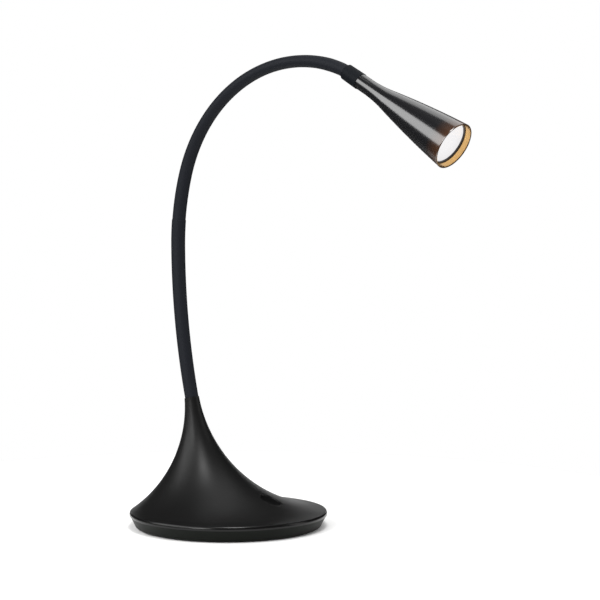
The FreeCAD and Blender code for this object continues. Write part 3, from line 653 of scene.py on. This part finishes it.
outside = ([(THROAT_RADIUS, 0)]
           + arc((THROAT_RADIUS, THROAT_END), FLARE, -FLARE_HOLLOW, steps=14)
           + arc(FLARE, (MOUTH_RADIUS - 0.00007, LAST_FACE), CONE_BULGE, steps=20)[1:]
           + [(MOUTH_RADIUS, RIM_START)])
rim = [(MOUTH_RADIUS - 0.0001, RIM_SHOULDER), (MOUTH_RADIUS - 0.0004, HEAD_LENGTH),
       (MOUTH_INSIDE + 0.0001, RIM_SHOULDER), (MOUTH_INSIDE, RIM_START)]
inside = [(SEAT_RADIUS, LENS_BACK), (SEAT_RADIUS - SEAT_LEDGE, LENS_BACK), (0.0072, FLARE[1]),
          (0.0042, 0.017), (0.0042, 0)]
shade = turned("lamp_head_shade", outside + rim + inside, sides=160)
place(shade, head_frame)
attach(shade, "head")
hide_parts("head_shell")
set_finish(shade, "head_lacquer")
print("shade", len(shade.data.polygons), "faces")

# %% [markdown]
# # The lens
#
# The opal lens is a flat disc a few millimetres inside the mouth. A plain cylinder would do, but
# its small chamfer and its inner rings keep the lit face free of long thin triangles.

# %% Turn the lens
LENS_RADIUS = 0.0179
LENS_CHAMFER = 0.0003
LENS_INNER_RINGS = (0.012, 0.004)

lens = turned("lamp_lens", [
    (LENS_RADIUS, LENS_BACK), (LENS_RADIUS, LENS_FRONT - LENS_CHAMFER),
    (LENS_RADIUS - LENS_CHAMFER, LENS_FRONT), *((r, LENS_FRONT) for r in LENS_INNER_RINGS),
], solid=True)
place(lens, head_frame)
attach(lens, "head")
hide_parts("lens")
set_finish(lens, "opal_lens")
print("lens", len(lens.data.polygons), "faces")

# %% [markdown]
# # The lens ring
#
# A thin dark ring holds the lens and draws a line round its light. A torus would be too round:
# the real ring has a flat front, so it is turned from a rectangle and softened.

# %% Turn the ring
RING_BORE = 0.0171
RING_HEIGHT = 0.0018

ring_top = LENS_FRONT + RING_HEIGHT
lens_ring = turned("lamp_lens_ring", [
    (RING_BORE, LENS_FRONT), (SEAT_RADIUS, LENS_FRONT), (SEAT_RADIUS, ring_top),
    (RING_BORE, ring_top)])
soften(lens_ring, 0.0002, segments=2)
place(lens_ring, head_frame)
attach(lens_ring, "head")
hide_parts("lens_ring")
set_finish(lens_ring, "ring_plastic")
print("lens ring", len(lens_ring.data.polygons), "faces")

# %% [markdown]
# # The gold band
#
# In front of the lens the mouth is lined with a thin gold band, which glows where the lens
# lights it. It could be a second colour on the shade, but the real one has an edge of its own,
# so it is a separate thin tube that follows the shade's inside.

# %% Turn the band
BAND_INSIDE = 0.0005
BAND_GAP = 0.0001


def seat_radius(height):
    """The shade's inner radius in front of the lens."""
    share = (height - LENS_BACK) / (HEAD_LENGTH - LENS_BACK)
    return SEAT_RADIUS + (MOUTH_INSIDE - SEAT_RADIUS) * share


low_seat, high_seat = seat_radius(ring_top), seat_radius(RIM_START)
band = turned("lamp_mouth_band", [
    (low_seat - BAND_INSIDE, ring_top), (low_seat - BAND_GAP, ring_top),
    (high_seat - BAND_GAP, RIM_START), (high_seat - BAND_INSIDE, RIM_START),
], sides=160)
soften(band, 0.00012, segments=2)
place(band, head_frame)
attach(band, "head")
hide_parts("mouth_ring")
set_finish(band, "mouth_gold")
print("band", len(band.data.polygons), "faces")

# %% [markdown]
# # The grain, a node group
#
# Moulded and lacquered surfaces have a fine grain, and no stretch of them is quite as glossy as
# the next. Many finishes need both, so they are one node group that is built once: it gives a
# height for a Bump node and a roughness that varies a little. An image could do this too, but
# noise has no seams and no fixed size.

# %% Build the grain
VECTOR, NUMBER = "NodeSocketVector", "NodeSocketFloat"


def new_group(name, inputs, outputs):
    group = bpy.data.node_groups.new(name, "ShaderNodeTree")
    for direction, sockets in (("INPUT", inputs), ("OUTPUT", outputs)):
        for socket, kind in sockets:
            group.interface.new_socket(socket, in_out=direction, socket_type=kind)
    return group, group.nodes.new("NodeGroupInput"), group.nodes.new("NodeGroupOutput")


def new_node(nodes, kind, **values):
    """Add a shader node and set some of its inputs."""
    node = nodes.new("ShaderNode" + kind)
    for socket, value in values.items():
        node.inputs[socket.replace("_", " ")].default_value = value
    return node


surface_grain, taken, given = new_group(
    "surface_grain", [("Place", VECTOR), ("Grains per metre", NUMBER), ("Roughness", NUMBER),
                      ("Roughness swing", NUMBER)],
    [("Height", NUMBER), ("Roughness", NUMBER)])
nodes, links = surface_grain.nodes, surface_grain.links
grain = new_node(nodes, "TexNoise", Detail=3)
links.new(taken.outputs["Place"], grain.inputs["Vector"])
links.new(taken.outputs["Grains per metre"], grain.inputs["Scale"])
links.new(grain.outputs["Fac"], given.inputs["Height"])
patches = new_node(nodes, "TexNoise", Scale=60, Detail=4)
links.new(taken.outputs["Place"], patches.inputs["Vector"])
centred = new_node(nodes, "Math")
centred.operation = "SUBTRACT"
centred.inputs[1].default_value = 0.5
links.new(patches.outputs["Fac"], centred.inputs[0])
swing = new_node(nodes, "Math")
swing.operation = "MULTIPLY_ADD"
links.new(centred.outputs[0], swing.inputs[0])
links.new(taken.outputs["Roughness swing"], swing.inputs[1])
links.new(taken.outputs["Roughness"], swing.inputs[2])
links.new(swing.outputs[0], given.inputs["Roughness"])
print("grain of", len(nodes), "nodes")

# %% [markdown]
# # The dust, a node group
#
# A lamp in use gathers a trace of dust on the faces that look up. The group gives a mask for it:
# how far a face looks up, times sparse specks of noise. A painted mask would have to be painted
# again for every piece.

# %% Build the dust
dust_film, taken, given = new_group(
    "dust_film", [("Place", VECTOR), ("Amount", NUMBER)], [("Mask", NUMBER)])
nodes, links = dust_film.nodes, dust_film.links
facing = new_node(nodes, "NewGeometry")
split = new_node(nodes, "SeparateXYZ")
links.new(facing.outputs["Normal"], split.inputs[0])
upward = new_node(nodes, "MapRange", From_Min=0.2)
links.new(split.outputs["Z"], upward.inputs["Value"])
specks = new_node(nodes, "TexNoise", Scale=900, Detail=2)
links.new(taken.outputs["Place"], specks.inputs["Vector"])
sparse = new_node(nodes, "MapRange", From_Min=0.5, From_Max=0.75)
links.new(specks.outputs["Fac"], sparse.inputs["Value"])
both = new_node(nodes, "Math")
share = new_node(nodes, "Math")
both.operation = share.operation = "MULTIPLY"
links.new(upward.outputs["Result"], both.inputs[0])
links.new(sparse.outputs["Result"], both.inputs[1])
links.new(both.outputs[0], share.inputs[0])
links.new(taken.outputs["Amount"], share.inputs[1])
links.new(share.outputs[0], given.inputs["Mask"])
print("node groups", [group.name for group in bpy.data.node_groups])

# %% [markdown]
# # How a finish is built
#
# Each finish is a node material with one Principled BSDF. What is the same all over a surface is
# set on the shader's own sockets, and a grain or a film of dust is added only where it is asked
# for. The grain follows Object coordinates, or on the sleeve its UV map, scaled back to metres.

# %% Build a finish from a colour, a roughness and a grain
SLEEVE_GIRTH = 0.0377
DUST_GREY = (0.35, 0.34, 0.32, 1)


def finish(name, colour, roughness, grains=0.0, depth=0.0, swing=0.0, dust=0.0, uv=False,
           **sockets):
    """A Principled material. The grain's depth is in metres, its number in grains a metre."""
    material = bpy.data.materials.new(name)
    material.use_nodes = True
    nodes, links = material.node_tree.nodes, material.node_tree.links
    shader = nodes["Principled BSDF"]
    shader.inputs["Base Color"].default_value = (*colour, 1)
    shader.inputs["Roughness"].default_value = roughness
    for socket, value in sockets.items():
        shader.inputs[socket.replace("_", " ")].default_value = value
    if not grains:
        return material, shader, None
    source = new_node(nodes, "TexCoord")
    place_on = source.outputs["Object"]
    if uv:
        stretch = new_node(nodes, "Mapping", Scale=(SLEEVE_GIRTH, ARM_LENGTH, 1))
        links.new(source.outputs["UV"], stretch.inputs["Vector"])
        place_on = stretch.outputs["Vector"]
    group = new_node(nodes, "Group")
    group.node_tree = surface_grain
    group.inputs["Grains per metre"].default_value = grains
    group.inputs["Roughness"].default_value = roughness
    group.inputs["Roughness swing"].default_value = swing
    links.new(place_on, group.inputs["Place"])
    links.new(group.outputs["Roughness"], shader.inputs["Roughness"])
    bump = new_node(nodes, "Bump", Strength=1, Distance=depth)
    links.new(group.outputs["Height"], bump.inputs["Height"])
    links.new(bump.outputs["Normal"], shader.inputs["Normal"])
    if dust:
        group = new_node(nodes, "Group")
        group.node_tree = dust_film
        group.inputs["Amount"].default_value = dust
        links.new(place_on, group.inputs["Place"])
        mix = new_node(nodes, "Mix")
        mix.data_type = "RGBA"
        mix.inputs["A"].default_value = (*colour, 1)
        mix.inputs["B"].default_value = DUST_GREY
        links.new(group.outputs["Mask"], mix.inputs["Factor"])
        links.new(mix.outputs["Result"], shader.inputs["Base Color"])
    return material, shader, place_on


print("a finish takes its grain from", surface_grain.name)

# %% [markdown]
# # The lacquer and its warm mouth
#
# The head is black lacquer with a clear coat, and near the mouth its colour turns a little brown.
# The tint could be painted on, but it depends only on how far along the head's axis a point
# lies. A Mapping node turns Object coordinates into the head's own frame, and its Z then drives
# a colour ramp.

# %% Mix the head's lacquer
LACQUER_BLACK = (0.004, 0.004, 0.005)
MOUTH_BROWN = (0.040, 0.015, 0.005)
WARM_LENGTH = 0.014

lacquer, shader, place_on = finish(
    "head_lacquer", LACQUER_BLACK, roughness=0.20, grains=1200, depth=0.0000002, swing=0.03,
    Specular_IOR_Level=1.0, Coat_Weight=0.5, Coat_Roughness=0.14)
nodes, links = lacquer.node_tree.nodes, lacquer.node_tree.links
turn_back = new_node(nodes, "Mapping")
turn_back.vector_type = "TEXTURE"
turn_back.inputs["Location"].default_value = head_frame.to_translation()
turn_back.inputs["Rotation"].default_value = head_frame.to_euler()
links.new(place_on, turn_back.inputs["Vector"])
along_head = new_node(nodes, "SeparateXYZ")
links.new(turn_back.outputs["Vector"], along_head.inputs[0])
near_mouth = new_node(nodes, "MapRange", From_Min=HEAD_LENGTH - WARM_LENGTH,
                      From_Max=HEAD_LENGTH)
links.new(along_head.outputs["Z"], near_mouth.inputs["Value"])
warmth = new_node(nodes, "ValToRGB")
warmth.color_ramp.elements[0].color = (*LACQUER_BLACK, 1)
warmth.color_ramp.elements[1].color = (*MOUTH_BROWN, 1)
links.new(near_mouth.outputs["Result"], warmth.inputs["Fac"])
links.new(warmth.outputs["Color"], shader.inputs["Base Color"])
print("lacquer of", len(nodes), "nodes")

# %% [markdown]
# # One finish for each slot
#
# The record names a finish slot for every piece, seen or hidden. The cover is satin black, with
# a grain so fine that it only spreads the highlights, and the pan is a little greener and
# duller. The sleeve and the collar are blue-black and matte. Hidden pieces could share one grey,
# but they get plain finishes of their own, so that an opened lamp would look right too.

# %% Make every finish
finishes = {"head_lacquer": lacquer}
for slot_name, recipe in {
    "cover_plastic": dict(colour=(0.003, 0.003, 0.003), roughness=0.42, grains=4200,
                          depth=0.00002, swing=0.08, dust=0.002, Specular_IOR_Level=0.26),
    "pan_plastic": dict(colour=(0.004, 0.005, 0.0038), roughness=0.45, grains=4200,
                        depth=0.00001, swing=0.08, Specular_IOR_Level=0.08),
    # The button is black plastic, and its colour is set darker still, with little gloss, as
    # painted shade for the recess it sits in.
    "button_plastic": dict(colour=(0.002, 0.002, 0.002), roughness=0.5, grains=4200,
                           depth=0.000008, swing=0.05, Specular_IOR_Level=0.08),
    "pad_foam": dict(colour=(0.02, 0.02, 0.02), roughness=0.95, grains=2600, depth=0.00012),
    "gooseneck_sleeve": dict(colour=(0.007, 0.008, 0.011), roughness=0.6, grains=1500,
                             depth=0.00006, swing=0.12, uv=True, Specular_IOR_Level=0.11),
    "collar_lacquer": dict(colour=(0.004, 0.005, 0.007), roughness=0.55, grains=2600,
                           depth=0.00003, swing=0.1, Specular_IOR_Level=0.07),
    "mouth_gold": dict(colour=(0.80, 0.50, 0.20), roughness=0.22, Metallic=1.0),
    "ring_plastic": dict(colour=(0.02, 0.012, 0.008), roughness=0.4),
    "gland_rubber": dict(colour=(0.015, 0.015, 0.015), roughness=0.7),
    "ballast_steel": dict(colour=(0.42, 0.42, 0.43), roughness=0.4, Metallic=1.0),
    "screw_steel": dict(colour=(0.5, 0.5, 0.5), roughness=0.35, Metallic=1.0),
    "switch_plastic": dict(colour=(0.03, 0.03, 0.035), roughness=0.4),
    "board_laminate": dict(colour=(0.03, 0.12, 0.05), roughness=0.45),
    "insulating_sheet": dict(colour=(0.75, 0.72, 0.60), roughness=0.5),
    "capacitor_can": dict(colour=(0.05, 0.06, 0.12), roughness=0.35),
    "inductor_ferrite": dict(colour=(0.05, 0.05, 0.05), roughness=0.6),
    "fitting_steel": dict(colour=(0.55, 0.55, 0.54), roughness=0.3, Metallic=1.0),
    "lead_sheath": dict(colour=(0.6, 0.6, 0.58), roughness=0.5),
    "sink_aluminium": dict(colour=(0.75, 0.76, 0.77), roughness=0.35, Metallic=1.0),
    "led_phosphor": dict(colour=(0.85, 0.70, 0.20), roughness=0.5),
    "reflector_white": dict(colour=(0.85, 0.85, 0.84), roughness=0.35),
    "opal_lens": dict(colour=(0.2, 0.2, 0.2), roughness=0.4),
}.items():
    finishes[slot_name] = finish(slot_name, **recipe)[0]
wanted = {m["slot"] for m in frame["record"]["materials"]}
print("finishes", len(finishes), "slots without one", sorted(wanted - set(finishes)))

# %% [markdown]
# # The polished lip
#
# The lip of the cover is glossier than its slope, and it mirrors the panels more sharply. It
# could have a slot of its own, but cover and lip are one moulding. So a mask made from the
# height in Object coordinates mixes a low roughness into the cover's own.

# %% Polish the lip
LIP_ROUGHNESS = 0.2
POLISH_FADE = 0.0006

nodes = finishes["cover_plastic"].node_tree.nodes
links = finishes["cover_plastic"].node_tree.links
shader = nodes["Principled BSDF"]
slope_roughness = shader.inputs["Roughness"].links[0].from_socket
source = new_node(nodes, "TexCoord")
split = new_node(nodes, "SeparateXYZ")
links.new(source.outputs["Object"], split.inputs[0])
above_lip = new_node(nodes, "MapRange", From_Min=LIP_TOP - POLISH_FADE, From_Max=LIP_TOP)
links.new(split.outputs["Z"], above_lip.inputs["Value"])
polish = new_node(nodes, "Mix", A=LIP_ROUGHNESS)
links.new(above_lip.outputs["Result"], polish.inputs["Factor"])
links.new(slope_roughness, polish.inputs["B"])
links.new(polish.outputs["Result"], shader.inputs["Roughness"])
print("cover plastic of", len(nodes), "nodes")

# %% [markdown]
# # The lit lens
#
# The lamp is on. A light behind the lens would have to shine through it, which takes many
# samples, so the lens itself glows, just bright enough to look white.

# %% Light the lens
LENS_GLOW = (1.0, 0.985, 1.0, 1)
GLOW_STRENGTH = 0.72

lit = finishes["opal_lens"].node_tree.nodes["Principled BSDF"]
lit.inputs["Emission Color"].default_value = LENS_GLOW
lit.inputs["Emission Strength"].default_value = GLOW_STRENGTH
print("lens glows at", GLOW_STRENGTH)

# %% [markdown]
# # Finish every piece
#
# A CAD node takes the slot that the record gives it, and a new piece the slot it was given
# above. Setting each material by hand would leave some out, so two loops go through them all.

# %% Put each finish on its pieces
def paint(piece, slot_name):
    piece.data.materials.clear()
    piece.data.materials.append(finishes[slot_name])


slot_of_node = {part["node"]: part["material_slot"] for part in frame["record"]["subparts"]}
for node, piece in frame["nodes"].items():
    paint(piece, slot_of_node[node])
skins = [piece for piece in bpy.data.objects if piece.type == "MESH" and piece.get("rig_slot")]
for piece in skins:
    paint(piece, piece["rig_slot"])
print("finished", len(frame["nodes"]), "CAD nodes and", len(skins), "skins")

# %% [markdown]
# # The floor
#
# The lamp stands on a round white floor. It could be an endless backdrop with a curve behind,
# but in a white room a plain disc is enough: its edge disappears, and a soft shadow stays under
# the foot.

# %% Lay the floor
FLOOR_RADIUS = 0.45

nothing_selected()
bpy.ops.mesh.primitive_circle_add(vertices=128, radius=FLOOR_RADIUS, location=(0, 0, 0),
                                  fill_type="NGON")
floor = bpy.context.object
floor.name = "studio_floor"
floor.data.materials.append(
    finish("floor_white", colour=(0.78, 0.78, 0.775), roughness=0.8)[0])
print("floor", FLOOR_RADIUS * 2, "m across")

# %% [markdown]
# # The room
#
# The room is plain white to the eye and gives a soft even light, but it is dark in reflections.
# In an evenly white room black lacquer would turn grey all over. So the gloss shows only the
# soft panels that are set up for it. The Light Path node tells the three cases apart.

# %% Light the room
ROOM_SEEN = 1.0
ROOM_LIGHT = 0.95
ROOM_MIRRORED = 0.05

world = bpy.data.worlds.new("studio_room")
bpy.context.scene.world = world
world.use_nodes = True
nodes, links = world.node_tree.nodes, world.node_tree.links
room = nodes["Background"]
room.inputs["Color"].default_value = (1, 1, 1, 1)
path = new_node(nodes, "LightPath")
seen = new_node(nodes, "Mix", A=ROOM_LIGHT, B=ROOM_SEEN)
links.new(path.outputs["Is Camera Ray"], seen.inputs["Factor"])
mirrored = new_node(nodes, "Mix", B=ROOM_MIRRORED)
links.new(path.outputs["Is Glossy Ray"], mirrored.inputs["Factor"])
links.new(seen.outputs["Result"], mirrored.inputs["A"])
links.new(mirrored.outputs["Result"], room.inputs["Strength"])
print("room of", len(nodes), "nodes")

# %% [markdown]
# # The soft panels
#
# Gloss is a picture of the lights, so each panel is there for one highlight. One hangs close
# over the head and one stands at the left: they draw the two bands along the head. Two in front,
# one high and one low, give the base its soft streaks. One at the right and a low strip at the
# back light the rims. Small lamps would make hot spots, and wide panels make soft bands.

# %% Set up the panels
LAMP_MIDDLE = Vector((0.03, -0.02, 0.2))
HEAD_MIDDLE = head_frame @ Vector((0, 0, HEAD_LENGTH / 2))
FOOT_OF_NECK = (0, 0, 0.05)


def panel(name, towards, distance, width, height, power, aim=LAMP_MIDDLE):
    """A soft panel that faces the lamp from a direction. Sizes in metres, power in watts."""
    light = bpy.data.lights.new(name, "AREA")
    light.shape, light.size, light.size_y, light.energy = "RECTANGLE", width, height, power
    stand = bpy.data.objects.new(name, light)
    bpy.context.scene.collection.objects.link(stand)
    direction = Vector(towards).normalized()
    stand.location = Vector(aim) + direction * distance
    stand.rotation_euler = direction.to_track_quat("Z", "Y").to_euler()


# Each line gives the direction from the aim, the distance, the width, the height and the power
panel("overhead_panel", (-0.13, 0.56, 0.82), 0.5, 0.56, 0.42, 1.05, HEAD_MIDDLE)
panel("left_panel", (-0.79, -0.49, 0.38), 1.5, 1.3, 0.95, 14, HEAD_MIDDLE)
panel("front_panel", (0.24, -0.36, 0.90), 1.7, 0.5, 0.6, 18)
panel("low_front_panel", (-0.20, -0.89, 0.38), 1.7, 0.6, 0.9, 14)
panel("right_panel", (0.85, 0.35, 0.15), 1.6, 0.6, 1.2, 3)
panel("back_strip", (-0.36, 0.92, 0.08), 1.8, 1.2, 0.35, 2.0, FOOT_OF_NECK)
print("panels", len(bpy.data.lights))

# %% [markdown]
# # The camera
#
# The camera looks a little down on the lamp from the front right. A short lens close by would
# stretch the base, so it is a long lens from about 1.8 metres away. Its place and its angles
# come from matching the lamp's outline in the photograph. The Standard view transform keeps
# white at white.

# %% Set up the camera
CAMERA_PLACE = (0.7177, -1.6507, 0.3195)
CAMERA_TILT = math.radians(86.04)
CAMERA_TURN = math.radians(21.54)
LONG_LENS = 126.7
SENSOR_WIDTH = 36

eye = bpy.data.cameras.new("studio_camera")
eye.sensor_width, eye.lens = SENSOR_WIDTH, LONG_LENS
camera = bpy.data.objects.new("studio_camera", eye)
camera.location = CAMERA_PLACE
camera.rotation_euler = (CAMERA_TILT, 0, CAMERA_TURN)
bpy.context.scene.collection.objects.link(camera)
bpy.context.scene.camera = camera
bpy.context.scene.view_settings.view_transform = "Standard"
print("camera", round((Vector(CAMERA_PLACE) - LAMP_MIDDLE).length, 2), "m from the lamp")
